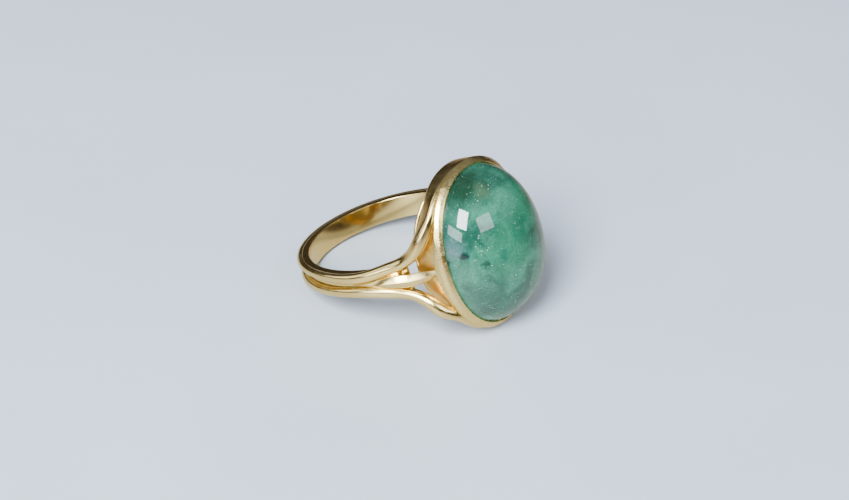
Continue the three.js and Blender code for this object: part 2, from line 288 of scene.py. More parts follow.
Socket = bpy.types.NodeSocket
Value = Socket | float | tuple[float, ...] | bpy.types.Material


class Work:
    """Shorthand for the nodes of a material, a shader group or a Geometry Nodes tree."""

    def __init__(self, tree: bpy.types.NodeTree) -> None:
        """Starts work on a tree."""
        self.tree = tree

    def node(self, kind: str, **settings: object) -> bpy.types.Node:
        """A node with its settings."""
        made = self.tree.nodes.new(kind)
        for key, value in settings.items():
            setattr(made, key, value)
        return made

    def feed(self, socket: Socket, value: Value) -> None:
        """Links a socket or writes a value into an input."""
        if isinstance(value, Socket):
            self.tree.links.new(value, socket)
        else:
            socket.default_value = value

    def calc(self, operation: str, *values: Value, clamp: bool = False) -> Socket:
        """The result of a Math node."""
        made = self.node("ShaderNodeMath", operation=operation, use_clamp=clamp)
        for socket, value in zip(made.inputs, values):
            self.feed(socket, value)
        return made.outputs[0]

    def scaled(self, vector: Socket, scale: Triple, turn: Triple = (0, 0, 0)) -> Socket:
        """A vector turned and stretched by a Mapping node."""
        made = self.node("ShaderNodeMapping")
        self.feed(made.inputs["Vector"], vector)
        made.inputs["Scale"].default_value = scale
        made.inputs["Rotation"].default_value = turn
        return made.outputs[0]

    def noise(
        self, vector: Socket, scale: float, detail: float = 3.0, rough: float = 0.5, distortion: float = 0.0
    ) -> Socket:
        """A cloudy value about 0.5."""
        made = self.node("ShaderNodeTexNoise")
        self.feed(made.inputs["Vector"], vector)
        self.feed(made.inputs["Scale"], scale)
        made.inputs["Detail"].default_value = detail
        made.inputs["Roughness"].default_value = rough
        made.inputs["Distortion"].default_value = distortion
        return made.outputs["Fac"]

    def between(self, value: Value, low: float, high: float, start: float = 0.0, end: float = 1.0) -> Socket:
        """A value carried smoothly from one range to another."""
        made = self.node("ShaderNodeMapRange", interpolation_type="SMOOTHSTEP")
        self.feed(made.inputs["Value"], value)
        for name, number in (("From Min", low), ("From Max", high), ("To Min", start), ("To Max", end)):
            made.inputs[name].default_value = number
        return made.outputs["Result"]

    def mix(self, share: Value, first: Value, second: Value) -> Socket:
        """Two colours mixed by a share."""
        made = self.node("ShaderNodeMix", data_type="RGBA", blend_type="MIX", clamp_factor=True)
        self.feed(made.inputs[0], share)
        self.feed(made.inputs[6], first)
        self.feed(made.inputs[7], second)
        return made.outputs[2]


class GrowWork(Work):
    """Shorthand for building a Geometry Nodes tree with named inputs."""

    def __init__(self, name: str) -> None:
        """Starts a new tree that takes and gives geometry."""
        super().__init__(bpy.data.node_groups.new(name, "GeometryNodeTree"))
        self.tree.interface.new_socket("Geometry", in_out="INPUT", socket_type="NodeSocketGeometry")
        self.tree.interface.new_socket("Geometry", in_out="OUTPUT", socket_type="NodeSocketGeometry")
        self.inputs = self.node("NodeGroupInput")
        self.output = self.node("NodeGroupOutput")

    def size(self, name: str, kind: str = "NodeSocketFloat") -> Socket:
        """A named input of the tree, ready to be linked."""
        self.tree.interface.new_socket(name, in_out="INPUT", socket_type=kind)
        return self.inputs.outputs[name]

    def vector_calc(self, operation: str, first: Value, second: Value) -> Socket:
        """The result of a Vector Math node, whose second value may be a number that scales the first."""
        made = self.node("ShaderNodeVectorMath", operation=operation)
        self.feed(made.inputs[0], first)
        self.feed(made.inputs["Scale"] if operation == "SCALE" else made.inputs[1], second)
        return made.outputs[0]

    def soft_power(self, value: Value, power: Value) -> Socket:
        """A value raised to a power with its sign kept."""
        raised = self.calc("POWER", self.calc("ABSOLUTE", value), power)
        return self.calc("MULTIPLY", self.calc("SIGN", value), raised)

    def grid(self, columns: Value, rows: Value) -> tuple[Socket, Socket, Socket]:
        """A flat grid with the column and the row of each of its points."""
        made = self.node("GeometryNodeMeshGrid")
        self.feed(made.inputs["Vertices X"], columns)
        self.feed(made.inputs["Vertices Y"], rows)
        index = self.node("GeometryNodeInputIndex").outputs[0]
        column = self.calc("FLOOR", self.calc("DIVIDE", index, rows))
        row = self.calc("SUBTRACT", index, self.calc("MULTIPLY", column, rows))
        return made.outputs["Mesh"], column, row

    def finish(self, mesh: Socket, position: Socket, material: Socket) -> None:
        """Moves a grid's points to their places, closes it and gives it its material."""
        placed = self.node("GeometryNodeSetPosition")
        self.feed(placed.inputs["Geometry"], mesh)
        self.feed(placed.inputs["Position"], position)
        merged = self.node("GeometryNodeMergeByDistance")
        self.feed(merged.inputs["Geometry"], placed.outputs[0])
        self.feed(merged.inputs["Distance"], WELD_DISTANCE)
        real = self.node("GeometryNodeRealizeInstances")
        self.feed(real.inputs[0], merged.outputs[0])
        dressed = self.node("GeometryNodeSetMaterial")
        self.feed(dressed.inputs["Geometry"], real.outputs[0])
        self.feed(dressed.inputs["Material"], material)
        self.feed(self.output.inputs[0], dressed.outputs[0])


def grown(name: str, tree: bpy.types.NodeTree, start: bpy.types.Mesh, sizes: dict) -> bpy.types.Object:
    """Runs a Geometry Nodes tree and keeps the result as a plain mesh in the row frame.

    Args:
        name: the piece's name.
        tree: the tree, which works in the ring's millimetres.
        start: the mesh that the tree starts from.
        sizes: the tree's named inputs.

    Returns:
        The finished piece, with its faces outwards.
    """
    holder = bpy.data.objects.new(name + "_source", start)
    bpy.context.scene.collection.objects.link(holder)
    modifier = holder.modifiers.new("Grow", "NODES")
    modifier.node_group = tree
    for item in tree.interface.items_tree:
        if item.item_type == "SOCKET" and item.in_out == "INPUT" and item.name in sizes:
            modifier[item.identifier] = sizes[item.name]
    graph = bpy.context.evaluated_depsgraph_get()
    mesh = bpy.data.meshes.new_from_object(holder.evaluated_get(graph), depsgraph=graph)
    bpy.data.objects.remove(holder)
    points = np.array([vertex.co for vertex in mesh.vertices])
    for attribute in [a for a in mesh.attributes if a.name in SWEEP_FIELDS]:
        mesh.attributes.remove(attribute)
    for vertex, place in zip(mesh.vertices, RING.place(points)):
        vertex.co = place
    keep_place(mesh, points)
    mesh.name = name
    return new_piece(name, mesh)


SWEEP_FIELDS = ("across", "outward", "half_width", "half_depth", "squareness")


def sweep_tree() -> bpy.types.NodeTree:
    """A tree that sweeps an oval or squarish section along the closed line of points it starts from."""
    work = GrowWork("Section sweep")
    corners = work.size("Corners", "NodeSocketInt")
    stations = work.size("Stations", "NodeSocketInt")
    material = work.size("Material", "NodeSocketMaterial")
    mesh, column, row = work.grid(work.calc("ADD", stations, 1), work.calc("ADD", corners, 1))
    station = work.calc("MODULO", column, stations)
    turn = work.calc("MULTIPLY", work.calc("DIVIDE", work.calc("ADD", row, 0.5), corners), FULL_TURN)

    def along(name: str | None, kind: str) -> Socket:
        """What the line holds at the section's own station: a named field, or its place."""
        if name is None:
            value = work.node("GeometryNodeInputPosition").outputs[0]
        else:
            read = work.node("GeometryNodeInputNamedAttribute", data_type=kind)
            read.inputs["Name"].default_value = name
            value = read.outputs["Attribute"]
        sample = work.node("GeometryNodeSampleIndex", data_type=kind, domain="POINT")
        work.feed(sample.inputs["Geometry"], work.inputs.outputs["Geometry"])
        work.feed(sample.inputs["Value"], value)
        work.feed(sample.inputs["Index"], station)
        return sample.outputs[0]

    squareness = along("squareness", "FLOAT")
    power = work.calc("SUBTRACT", 1, work.calc("MULTIPLY", squareness, 0.5))
    sideways = work.soft_power(work.calc("COSINE", turn), power)
    upwards = work.soft_power(work.calc("SINE", turn), power)
    width = work.calc("MULTIPLY", along("half_width", "FLOAT"), sideways)
    depth = work.calc("MULTIPLY", along("half_depth", "FLOAT"), upwards)
    side = work.vector_calc("SCALE", along("across", "FLOAT_VECTOR"), width)
    rise = work.vector_calc("SCALE", along("outward", "FLOAT_VECTOR"), depth)
    place = work.vector_calc("ADD", along(None, "FLOAT_VECTOR"), work.vector_calc("ADD", side, rise))
    work.finish(mesh, place, material)
    return work.tree


def dome_tree() -> bpy.types.NodeTree:
    """A tree that makes a closed oval cabochon: a full dome over the girdle and a flat, round-edged base."""
    work = GrowWork("Oval cabochon")
    rings = work.size("Rings", "NodeSocketInt")
    around = work.size("Around", "NodeSocketInt")
    half_width = work.size("Half width")
    half_length = work.size("Half length")
    girdle = work.size("Girdle height")
    dome = work.size("Dome height")
    base = work.size("Base depth")
    oval_power = work.size("Oval power")
    dome_power = work.size("Dome power")
    base_power = work.size("Base power")
    material = work.size("Material", "NodeSocketMaterial")
    mesh, column, row = work.grid(work.calc("ADD", rings, 1), work.calc("ADD", around, 1))
    share = work.calc("SUBTRACT", work.calc("MULTIPLY", work.calc("DIVIDE", column, rings), 2), 1)
    climb = work.calc("MULTIPLY", share, math.pi / 2)
    below = work.calc("LESS_THAN", share, 0)
    above = work.calc("SUBTRACT", 1, below)
    tall = work.calc("ADD", work.calc("MULTIPLY", above, dome), work.calc("MULTIPLY", below, base))
    full, flat = work.calc("MULTIPLY", above, dome_power), work.calc("MULTIPLY", below, base_power)
    power = work.calc("ADD", full, flat)
    height = work.calc("ADD", girdle, work.calc("MULTIPLY", tall, work.calc("SINE", climb)))
    size = work.calc("POWER", work.calc("MAXIMUM", work.calc("COSINE", climb), 0), power)
    turn = work.calc("MULTIPLY", work.calc("DIVIDE", row, around), FULL_TURN)
    oval = work.calc("DIVIDE", 2, oval_power)
    x = work.calc("MULTIPLY", work.soft_power(work.calc("SINE", turn), oval), half_width)
    y = work.calc("MULTIPLY", work.soft_power(work.calc("COSINE", turn), oval), half_length)
    place = work.node("ShaderNodeCombineXYZ")
    work.feed(place.inputs[0], work.calc("MULTIPLY", x, size))
    work.feed(place.inputs[1], work.calc("MULTIPLY", y, size))
    work.feed(place.inputs[2], height)
    work.finish(mesh, place.outputs[0], material)
    return work.tree


# ---- Sizes that the pieces share ----


@dataclass(frozen=True)
class Sizes:
    """The ring's sizes in millimetres, the same as its frame's."""

    bore_radius: float = 8.6
    stone_half_length: float = 7.8
    stone_half_width: float = 6.4
    stone_height: float = 6.0
    girdle_height: float = 0.55
    oval_power: float = 2.15
    dome_power: float = 0.94
    stone_base: float = 10.4
    lip_rise: float = 0.82
    ridge_offset: float = 0.6
    ridge_drop: float = 0.7
    skirt_tip_depth: float = 0.75
    gallery_top: float = 10.0
    gallery_side_height: float = 2.15
    gallery_end_height: float = 0.5
    gallery_taper: float = 0.2
    rail_radius: float = 0.2
    band_thickness: float = 0.7
    shoulder_thickness: float = 1.35
    band_end_angle: float = 44.0
    neck_angle: float = 56.0
    shank_lean: float = 0.035
    end_half_depth: float = 0.92
    end_wire_rise: float = 0.1

    @property
    def girdle(self) -> float:
        """Height of the stone's widest line."""
        return self.stone_base + self.girdle_height

    @property
    def dome_height(self) -> float:
        """Height of the dome over the girdle."""
        return self.stone_height - self.girdle_height

    @property
    def lip(self) -> float:
        """Height of the bezel's lip."""
        return self.girdle + self.lip_rise

    @property
    def ridge(self) -> float:
        """Height of the bezel's bright ridge line."""
        return self.lip - self.ridge_drop

    @property
    def skirt_tip(self) -> float:
        """Height of the skirt's point, where a leaf meets it."""
        return self.ridge - self.skirt_tip_depth

    @property
    def end_wire(self) -> float:
        """Height of the wires' centre line under the bezel's ends."""
        return self.gallery_top + self.end_wire_rise

    def oval(self, angle: float, offset: float, height: float) -> np.ndarray:
        """A point of the oval outside the girdle, at an angle in radians round the head."""
        power = 2 / self.oval_power
        return np.array((
            (self.stone_half_width + offset) * soften(math.sin(angle), power),
            (self.stone_half_length + offset) * soften(math.cos(angle), power),
            height,
        ))

    def dome_share(self, height: float) -> float:
        """The dome's size at a height, as a share of the girdle's."""
        climb = math.asin(min(1.0, (height - self.girdle) / self.dome_height))
        return math.cos(climb) ** self.dome_power

    def gallery_foot(self, angle: float) -> float:
        """Height of the gallery wall's lower edge."""
        share = math.sin(angle) ** 2
        return self.gallery_top - lerp(self.gallery_end_height, self.gallery_side_height, share)

    def gallery_offset(self, height: float) -> float:
        """How far outside the girdle the gallery wall's face is."""
        return 0.02 - self.gallery_taper * (self.gallery_top - height) / self.gallery_side_height

    def band_top(self, angle: float) -> float:
        """Radius of the channel's floor at an angle round the finger."""
        rise = smoothstep(110 - angle, 0, 110 - self.band_end_angle)
        return self.bore_radius + lerp(self.band_thickness, self.shoulder_thickness, rise)

    def on_finger(self, angle: float, radius: float, along: float) -> np.ndarray:
        """A point round the finger, in the plane of the head."""
        turn = math.radians(angle)
        return np.array((radius * math.sin(turn), along, radius * math.cos(turn)))

    def on_shank(self, angle: float, radius: float, along: float) -> np.ndarray:
        """The same in the shank's own plane, which leans a little against the head's."""
        return self.lean(self.on_finger(angle, radius, along))

    def lean(self, point: np.ndarray) -> np.ndarray:
        """A point of the shank leant with it."""
        return point - np.array((0, self.shank_lean * point[2], 0))


# ---- Finishes ----


def ring_place(work: Work) -> Socket:
    """The surface's own place on the ring, in millimetres."""
    return work.node("ShaderNodeAttribute", attribute_name="ring_place").outputs["Vector"]


def handling_marks() -> bpy.types.NodeTree:
    """A group for polished surfaces that have been worn: hairline scratches, tiny pits and dull patches."""
    group = bpy.data.node_groups.new("Handling marks", "ShaderNodeTree")
    group.interface.new_socket("Place", in_out="INPUT", socket_type="NodeSocketVector")
    for name in ("Scratches", "Pits"):
        group.interface.new_socket(name, in_out="INPUT", socket_type="NodeSocketFloat")
    for name in ("Height", "Wear"):
        group.interface.new_socket(name, in_out="OUTPUT", socket_type="NodeSocketFloat")
    work = Work(group)
    given = work.node("NodeGroupInput")
    place = given.outputs["Place"]
    lines = []
    for turn, stretch in (((0.3, 0.5, 0.2), 22.0), ((1.1, 0.2, 1.9), 30.0), ((2.1, 1.4, 0.7), 26.0)):
        streak = work.noise(work.scaled(place, (0.5, stretch, 0.5), turn), 1.0, 2.0, 0.6)
        lines.append(work.between(streak, 0.62, 0.72))
    scratches = work.calc("ADD", work.calc("ADD", lines[0], lines[1]), lines[2])
    cells = work.node("ShaderNodeTexVoronoi", feature="F1")
    work.feed(cells.inputs["Vector"], place)
    cells.inputs["Scale"].default_value = 3.2
    pits = work.between(cells.outputs["Distance"], 0.04, 0.13, 1.0, 0.0)
    ripple = work.noise(place, 0.55, 2.0)
    cut = work.calc("MULTIPLY", scratches, given.outputs["Scratches"])
    dug = work.calc("MULTIPLY", pits, given.outputs["Pits"])
    height = work.calc("SUBTRACT", work.calc("MULTIPLY", ripple, 1.5), work.calc("ADD", cut, dug))
    patches = work.between(work.noise(place, 0.9, 4.0, 0.6), 0.42, 0.68)
    wear = work.calc("ADD", patches, work.calc("MULTIPLY", cut, 0.6), clamp=True)
    result = work.node("NodeGroupOutput")
    work.feed(result.inputs["Height"], height)
    work.feed(result.inputs["Wear"], wear)
    return group


@dataclass(frozen=True)
class GoldFinish:
    """One finish of the ring's yellow gold."""

    colour: Triple
    worn_colour: Triple
    roughness: float
    worn_roughness: float
    scratches: float
    pits: float
    relief: float = 0.004

    def material(self, name: str, marks: bpy.types.NodeTree) -> bpy.types.Material:
        """The finish as a material.

        Args:
            name: the material's name.
            marks: the group of handling marks.

        Returns:
            The material, for pieces that know their place on the ring.
        """
        made = bpy.data.materials.new(name)
        made.use_nodes = True
        work = Work(made.node_tree)
        shader = made.node_tree.nodes["Principled BSDF"]
        shader.inputs["Metallic"].default_value = 1.0
        place = ring_place(work)
        wear = work.node("ShaderNodeGroup", node_tree=marks)
        work.feed(wear.inputs["Place"], place)
        work.feed(wear.inputs["Scratches"], self.scratches)
        work.feed(wear.inputs["Pits"], self.pits)
        tint = work.mix(wear.outputs["Wear"], (*self.colour, 1), (*self.worn_colour, 1))
        work.feed(shader.inputs["Base Color"], tint)
        rough = work.between(wear.outputs["Wear"], 0, 1, self.roughness, self.worn_roughness)
        work.feed(shader.inputs["Roughness"], rough)
        bump = work.node("ShaderNodeBump")
        bump.inputs["Distance"].default_value = self.relief * MM
        bump.inputs["Strength"].default_value = 1.0
        work.feed(bump.inputs["Height"], wear.outputs["Height"])
        work.feed(shader.inputs["Normal"], bump.outputs["Normal"])
        return made


YELLOW = (0.82, 0.63, 0.24)
PALE_YELLOW = (0.85, 0.67, 0.3)
# A deeper orange that paints the gold's inter-reflected light onto the recessed gallery wall.
PAINTED_BOUNCE_ORANGE = (0.82, 0.5, 0.13)


class Gold(Enum):
    """The gold finishes on this ring."""

    POLISHED = GoldFinish(YELLOW, PALE_YELLOW, 0.18, 0.26, 0.3, 0.2, 0.003)
    WORN = GoldFinish(YELLOW, PALE_YELLOW, 0.22, 0.32, 0.5, 0.7, 0.005)
    # Satin gold whose deeper orange colour is painted bounce light in the recessed gallery wall; its
    # roughness is the satin finish's own.
    SATIN_PAINTED_BOUNCE = GoldFinish(PAINTED_BOUNCE_ORANGE, YELLOW, 0.3, 0.42, 0.4, 0.5)
    INNER = GoldFinish(YELLOW, PALE_YELLOW, 0.14, 0.22, 0.9, 0.1)


@dataclass(frozen=True)
class CloudAndShadePatch:
    """A patch of colour just under the dome. Most are cloudy patches and dark inclusions in the stone; one is
    painted shade and a painted dark reflection along the girdle's edge.

    `around` is in degrees round the head from its +Y end, `out` runs from 0 at the crown to 1 at the
    girdle, and `reach` is in millimetres.
    """

    around: float
    out: float
    reach: float
    colour: Triple
    strength: float

    def centre(self, sizes: Sizes) -> Triple:
        """The middle of the patch, on the dome."""
        climb = math.radians(90 * (1 - self.out))
        height = sizes.girdle + sizes.dome_height * math.sin(climb)
        share = math.cos(climb) ** sizes.dome_power
        x, y, _ = sizes.oval(math.radians(self.around), 0, height)
        return (x * share, y * share, height)


@dataclass(frozen=True)
class StoneFinish:
    """The milky blue-green of the cabochon, with its cloudy patches, veils, dark inclusions and specks,
    painted glint flecks, and painted shade along one edge of the girdle.
    """

    deep: Triple = (0.01, 0.068, 0.042)
    body: Triple = (0.036, 0.19, 0.115)
    milk: Triple = (0.055, 0.19, 0.13)
    clouds_and_painted_shade: tuple[CloudAndShadePatch, ...] = (
        CloudAndShadePatch(-80, 0.2, 3.8, (0.024, 0.18, 0.095), 0.6),
        CloudAndShadePatch(30, 0.3, 3.2, (0.022, 0.17, 0.085), 0.5),
        CloudAndShadePatch(0, 0.4, 2.0, (0.05, 0.22, 0.14), 0.5),
        CloudAndShadePatch(-20, 0.8, 3.4, (0.006, 0.03, 0.014), 0.94),
        CloudAndShadePatch(-15, 0.6, 1.3, (0.06, 0.11, 0.055), 0.5),
        CloudAndShadePatch(-120, 0.7, 3.2, (0.022, 0.075, 0.052), 0.7),
        CloudAndShadePatch(-160, 0.6, 2.8, (0.03, 0.11, 0.075), 0.5),
        # Painted shade: a dark teal band along the girdle's edge under the bezel, standing in for shade and a
        # dark reflection there.
        CloudAndShadePatch(-60, 0.9, 2.0, (0.006, 0.04, 0.034), 0.75),
        CloudAndShadePatch(-75, 0.8, 1.5, (0.09, 0.15, 0.16), 0.6),
        CloudAndShadePatch(-90, 0.3, 0.9, (0.008, 0.07, 0.05), 0.6),
        CloudAndShadePatch(-90, 0.5, 0.8, (0.005, 0.035, 0.028), 0.85),
        CloudAndShadePatch(-80, 0.7, 0.8, (0.003, 0.012, 0.015), 0.95),
        CloudAndShadePatch(-85, 0.9, 0.6, (0.004, 0.016, 0.018), 0.85),
    )

    def material(self, name: str, sizes: Sizes) -> bpy.types.Material:
        """The stone's material, painted by place inside the stone."""
        made = bpy.data.materials.new(name)
        made.use_nodes = True
        work = Work(made.node_tree)
        shader = made.node_tree.nodes["Principled BSDF"]
        shader.inputs["IOR"].default_value = 1.58
        shader.inputs["Roughness"].default_value = 0.03
        shader.inputs["Subsurface Weight"].default_value = 0.15
        shader.inputs["Subsurface Radius"].default_value = (0.4, 1.0, 0.8)
        shader.inputs["Subsurface Scale"].default_value = 1.2 * MM
        place = ring_place(work)
        colour = self.cloudy_body_and_painted_shade(work, place, sizes)
        colour = self.veils(work, place, colour)
        colour = self.painted_glints_and_specks(work, place, colour)
        work.feed(shader.inputs["Base Color"], colour)
        return made

    def cloudy_body_and_painted_shade(self, work: Work, place: Socket, sizes: Sizes) -> Socket:
        """The slow changes of green, the cloudy patches and inclusions, and the painted shade along the
        girdle's edge.
        """
        slow = work.between(work.noise(place, 0.32, 5.0, 0.62, 0.6), 0.35, 0.68)
        colour = work.mix(slow, (*self.deep, 1), (*self.body, 1))
        milky = work.between(work.noise(place, 0.75, 6.0, 0.68, 0.4), 0.46, 0.74)
        colour = work.mix(work.calc("MULTIPLY", milky, 0.6), colour, (*self.milk, 1))
        warp = work.node("ShaderNodeTexNoise")
        work.feed(warp.inputs["Vector"], place)
        warp.inputs["Scale"].default_value = 0.9
        warp.inputs["Detail"].default_value = 4.0
        swing = work.node("ShaderNodeVectorMath", operation="MULTIPLY_ADD")
        work.feed(swing.inputs[0], warp.outputs["Color"])
        swing.inputs[1].default_value = (1.8, 1.8, 1.8)
        work.feed(swing.inputs[2], place)
        for stone_patch in self.clouds_and_painted_shade:
            away = work.node("ShaderNodeVectorMath", operation="DISTANCE")
            work.feed(away.inputs[0], swing.outputs[0])
            away.inputs[1].default_value = tuple(value + 0.9 for value in stone_patch.centre(sizes))
            inside = work.between(away.outputs["Value"], 0.2 * stone_patch.reach, stone_patch.reach, stone_patch.strength, 0.0)
            colour = work.mix(inside, colour, (*stone_patch.colour, 1))
        return colour

    def veils(self, work: Work, place: Socket, colour: Socket) -> Socket:
        """Thin whitish veils and fine threads."""
        for turn, scale, low, share in (
            ((0.4, 0.2, 0.9), (0.5, 2.2, 0.6), 0.6, 0.22),
            ((1.2, 0.7, 0.1), (2.0, 0.5, 1.1), 0.62, 0.18),
        ):
            veil = work.noise(work.scaled(place, scale, turn), 1.3, 6.0, 0.7, 0.8)
            shown = work.between(veil, low, low + 0.14, 0.0, share)
            colour = work.mix(shown, colour, (0.3, 0.52, 0.45, 1))
        grain = work.between(work.noise(place, 5.5, 5.0, 0.75), 0.3, 0.75, 0.72, 1.3)
        shade = work.node("ShaderNodeVectorMath", operation="SCALE")
        work.feed(shade.inputs[0], colour)
        work.feed(shade.inputs["Scale"], grain)
        return shade.outputs[0]

    def painted_glints_and_specks(self, work: Work, place: Socket, colour: Socket) -> Socket:
        """Painted glint flecks, tiny and bright, and dark specks of inclusion, gathered where the stone is
        cloudy.
        """
        gathered = work.between(work.noise(place, 0.6, 2.0), 0.45, 0.6)
        # The two bright rows are painted glints of light; the dark row is specks of inclusion.
        for scale, size, tint, share in (
            (3.4, 0.17, (0.8, 1.0, 0.9, 1), 1.0),
            (5.2, 0.18, (0.6, 0.9, 0.78, 1), 0.8),
            (2.6, 0.13, (0.004, 0.03, 0.025, 1), 0.8),
        ):
            cells = work.node("ShaderNodeTexVoronoi", feature="F1")
            work.feed(cells.inputs["Vector"], work.scaled(place, (1.0, 1.0, 1.0), (0.3 * scale, 0.2, 0.1)))
            cells.inputs["Scale"].default_value = scale
            fleck = work.between(cells.outputs["Distance"], 0.3 * size, size, share, 0.0)
            chosen = work.between(cells.outputs["Color"], 0.62, 0.64)
            shown = work.calc("MULTIPLY", work.calc("MULTIPLY", fleck, chosen), gathered)
            colour = work.mix(shown, colour, tint)
        return colour


# ---- The ring's sub-assemblies ----


def dress(piece: bpy.types.Object, material: bpy.types.Material, slot: str, *nodes: str) -> bpy.types.Object:
    """Gives a piece its material and its place in the frame.

    Args:
        piece: the finished piece.
        material: its finish.
        slot: the record's material slot; not used.
        nodes: the frame's nodes that it stands for.

    Returns:
        The piece.
    """
    piece.data.materials.clear()
    piece.data.materials.append(material)
    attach(piece, BODY)
    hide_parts(*nodes)
    log.info("%s: %d faces", piece.name, len(piece.data.polygons))
    return piece


@dataclass
class Cabochon:
    """The high oval stone."""

    sizes: Sizes
    rings: int = 140
    around: int = 240
    base_power: float = 0.2

    def build(self, finish: StoneFinish) -> bpy.types.Object:
        """The stone, grown by its own tree."""
        sizes = self.sizes
        material = finish.material("stone_cabochon", sizes)
        piece = grown("stone_cabochon", dome_tree(), bpy.data.meshes.new("stone_seed"), {
            "Rings": self.rings,
            "Around": self.around,
            "Half width": sizes.stone_half_width,
            "Half length": sizes.stone_half_length,
            "Girdle height": sizes.girdle,
            "Dome height": sizes.dome_height,
            "Base depth": sizes.girdle_height,
            "Oval power": sizes.oval_power,
            "Dome power": sizes.dome_power,
            "Base power": self.base_power,
            "Material": material,
        })
        return dress(piece, material, "stone", "cabochon")


@dataclass
class Head:
    """The bezel and the gallery under it."""

    sizes: Sizes
    steps: int = 288
    rail_corners: int = 20
    lip_width: float = 0.16
    lip_edge: float = 0.08
    collar_wall: float = 0.12
    back_thickness: float = 0.34
    joint: float = 0.03
    gallery_wall: float = 0.45
    ridge_round: float = 0.06
    chamfer_width: float = 0.13
    chamfer_height: float = 0.15
    arch_span: float = 30.0
    upper_arch: float = 0.66
    lower_arch: float = 0.2

    def skirt_foot(self, angle: float) -> float:
        """The skirt's lower edge: a point at each leaf, an arch beside it, and level over the ends."""
        sizes = self.sizes
        side = abs(math.sin(angle))
        over_ends = sizes.ridge - 0.08
        from_leaf = min(1.0, math.acos(min(1.0, side)) / math.radians(self.arch_span))
        rise = self.upper_arch if math.cos(angle) > 0 else self.lower_arch
        arch = sizes.skirt_tip + rise * from_leaf
        return lerp(over_ends, arch, smoothstep(side, 0.6, 0.8))

    def around(self, name: str, section: Callable[[float], list[Triple]]) -> bpy.types.Object:
        """A piece that runs round the head.

        Args:
            name: the piece's name.
            section: gives the (offset, height, corner radius) corners at an angle.

        Returns:
            The piece, with its corners rounded.
        """
        loops = []
        for i in range(self.steps):
            angle = i / self.steps * FULL_TURN
            outline = rounded(section(angle))
            loops.append([self.sizes.oval(angle, offset, height) for offset, height in outline])
        return new_piece(name, lofted(name, np.array(loops), True))

    def collar_section(self, angle: float) -> list[Triple]:
        """The collar's section: a sloping face out to the bright ridge, then the skirt."""
        sizes = self.sizes
        foot = self.skirt_foot(angle)
        back_foot = sizes.stone_base - self.joint - self.back_thickness
        grip_height = sizes.lip - self.lip_edge
        grip = 0.01 - sizes.stone_half_width * (1 - sizes.dome_share(grip_height))
        ridge = sizes.ridge_offset
        ridge_height = max(sizes.ridge, foot + self.chamfer_height + 0.04)
        return [
            (0.0, back_foot, 0.02),
            (self.collar_wall, back_foot, 0.02),
            (self.collar_wall + 0.02, foot + 0.06, 0.03),
            (ridge - self.chamfer_width, foot, 0.03),
            (ridge, foot + self.chamfer_height, 0.03),
            (ridge, ridge_height, self.ridge_round),
            (ridge - 0.2, sizes.lip - 0.27, 0.12),
            (grip + self.lip_width, sizes.lip, 0.05),
            (grip, grip_height, 0.03),
            (0.0, sizes.girdle, 0.02),
        ]

    def back_plate(self) -> bpy.types.Object:
        """The plate that closes the bezel under the stone, with its edge eased."""
        top = self.sizes.stone_base - 0.02
        foot = top - self.back_thickness
        loops = [
            [self.sizes.oval(i / self.steps * FULL_TURN, offset, height) for i in range(self.steps)]
            for offset, height in ((-0.06, foot), (0.0, foot + 0.05), (0.0, top - 0.05), (-0.06, top))
        ]
        return new_piece("bezel_back_fine", lofted("bezel_back_fine", np.array(loops), False))

    def gallery_section(self, angle: float) -> list[Triple]:
        """The tapered wall behind the windows."""
        sizes = self.sizes
        foot = sizes.gallery_foot(angle)
        top = sizes.gallery_top + self.joint
        return [
            (sizes.gallery_offset(top) - self.gallery_wall, top, 0.03),
            (sizes.gallery_offset(foot) - self.gallery_wall, foot, 0.04),
            (sizes.gallery_offset(foot), foot, 0.05),
            (sizes.gallery_offset(top), top, 0.03),
        ]

    def rail_line(self) -> bpy.types.Mesh:
        """The line of the fine wire along the gallery's foot, with its section's size and directions."""
        sizes = self.sizes
        points = []
        for i in range(self.steps):
            angle = i / self.steps * FULL_TURN
            height = sizes.gallery_foot(angle) - sizes.rail_radius
            middle = sizes.gallery_offset(height) - self.gallery_wall / 2
            points.append(sizes.oval(angle, middle, height))
        line = np.array(points)
        heading = np.roll(line, -1, 0) - np.roll(line, 1, 0)
        heading /= np.linalg.norm(heading, axis=1, keepdims=True)
        outward = np.tile((0.0, 0.0, 1.0), (self.steps, 1))
        across = np.cross(heading, outward)
        across /= np.linalg.norm(across, axis=1, keepdims=True)
        radius = np.full(self.steps, sizes.rail_radius)
        return sweep_line("rail_line", line, across, outward, radius, radius, np.zeros(self.steps))

    def build(self, sweep: bpy.types.NodeTree, finishes: dict[Gold, bpy.types.Material]) -> None:
        """Builds and dresses the collar, the back plate, the gallery wall and its rail."""
        worn, satin_painted_bounce = finishes[Gold.WORN], finishes[Gold.SATIN_PAINTED_BOUNCE]
        dress(self.around("bezel_collar_fine", self.collar_section), worn, "gold", "bezel_collar")
        dress(self.back_plate(), finishes[Gold.INNER], "gold", "bezel_back")
        # The gallery wall's satin finish carries painted bounce light in its deeper orange colour.
        dress(self.around("gallery_wall_fine", self.gallery_section), satin_painted_bounce, "gold", "gallery_wall")
        polished = finishes[Gold.POLISHED]
        rail = grown("gallery_rail_fine", sweep, self.rail_line(), {
            "Corners": self.rail_corners,
            "Stations": self.steps,
            "Material": polished,
        })
        dress(rail, polished, "gold", "gallery_rail")


